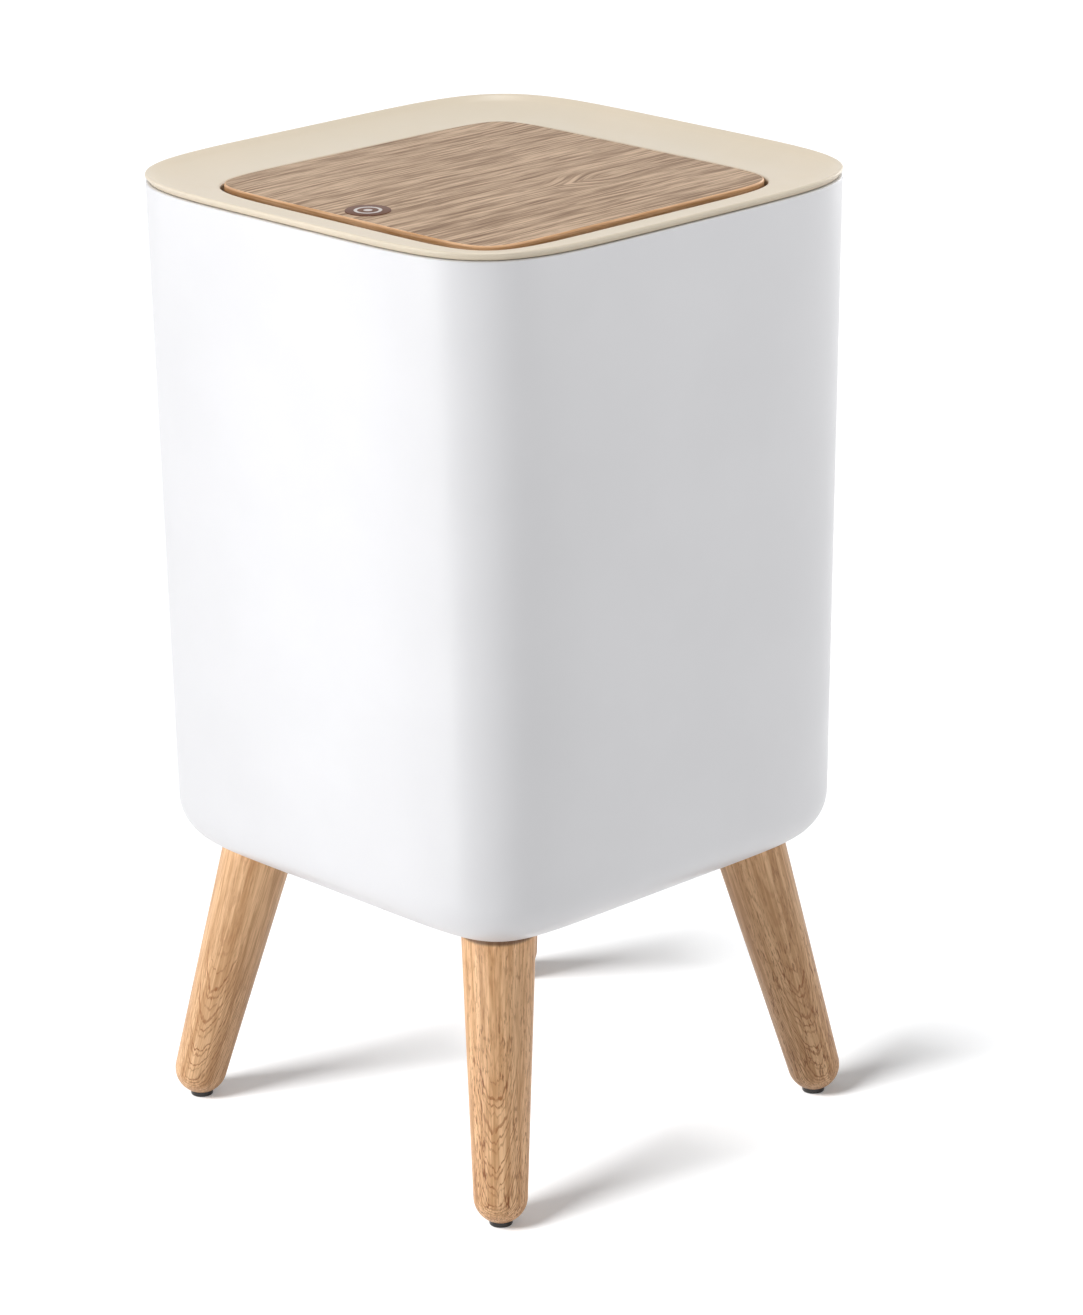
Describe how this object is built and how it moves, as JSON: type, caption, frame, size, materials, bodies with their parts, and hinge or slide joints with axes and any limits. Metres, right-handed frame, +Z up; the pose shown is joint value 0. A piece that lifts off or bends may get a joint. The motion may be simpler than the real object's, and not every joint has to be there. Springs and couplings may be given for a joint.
{
  "type": "push top countertop bin",
  "caption": "Small square bin on splayed wooden legs, with a dished lid frame and a push-to-open sprung flap with a wood-look panel.",
  "frame": {"origin": "on the floor, at the centre of the four feet", "axes": "+Z up; the front with the badge and the latch faces -Y; the flap's hinge is towards +Y; +X to the right of someone facing the front"},
  "size_m": [0.2104, 0.2104, 0.374],
  "materials": {
    "white_plastic": "satin moulded polypropylene",
    "beige_plastic": "satin moulded plastic",
    "wood_print": "satin wood-grain film on plastic",
    "badge_brown": "satin printed disc",
    "leg_wood": "clear-lacquered light hardwood",
    "black_glide": "smooth black glide",
    "latch_white": "matt acetal",
    "latch_grey": "matt acetal",
    "zinc_steel": "zinc plated",
    "spring_steel": "bright spring wire",
    "brass": "turned"
  },
  "bodies": {
    "bin": {"outer_body": "white_plastic", "leg_front_left": "leg_wood", "leg_front_right": "leg_wood", "leg_back_left": "leg_wood", "leg_back_right": "leg_wood", "foot_pad_front_left": "black_glide", "foot_pad_front_right": "black_glide", "foot_pad_back_left": "black_glide", "foot_pad_back_right": "black_glide", "pad_nails": "zinc_steel", "hanger_bolts": "zinc_steel", "threaded_inserts": "brass"},
    "bag_ring": {"bag_ring": "white_plastic"},
    "lid": {"lid_frame": "beige_plastic", "latch_housing": "latch_grey", "latch_cam_pin": "spring_steel", "latch_screws": "zinc_steel", "latch_spring": "spring_steel"},
    "hinge_axle": {"hinge_pin": "zinc_steel", "pin_clips": "spring_steel", "torsion_spring_left": "spring_steel", "torsion_spring_right": "spring_steel"},
    "flap": {"flap_panel": "wood_print", "flap_carrier": "beige_plastic", "badge": "badge_brown", "latch_striker": "latch_white", "striker_screw": "zinc_steel", "panel_screws": "zinc_steel"},
    "latch_slider": {"latch_slider": "latch_white"}
  },
  "joints": [
    {"name": "lid_lift", "type": "slide", "parent": "bin", "child": "lid", "axis": [0, 0, 1], "range_m": [0, 0.12]},
    {"name": "ring_lift", "type": "slide", "parent": "bin", "child": "bag_ring", "axis": [0, 0, 1], "range_m": [0, 0.06]},
    {"name": "flap_press", "type": "hinge", "parent": "lid", "child": "hinge_axle", "pos_m": [0, 0.057, 0.362], "axis": [-1, 0, 0], "range_deg": [-1.4, 0], "stiffness_Nm_per_rad": 5, "springref_deg": 8.59},
    {"name": "flap_open", "type": "hinge", "parent": "hinge_axle", "child": "flap", "pos_m": [0, 0.057, 0.362], "axis": [-1, 0, 0], "range_deg": [0, 80]},
    {"name": "latch_slide", "type": "slide", "parent": "lid", "child": "latch_slider", "axis": [0, 0, 1], "range_m": [-0.0033, 0], "deforming": ["latch_spring"]}
  ],
  "couplings": [
    {"joint": "ring_lift", "follows": "lid_lift", "ratio": 0.5},
    {"joint": "latch_slide", "follows": "flap_press", "m_per_rad": 0.128}
  ]
}
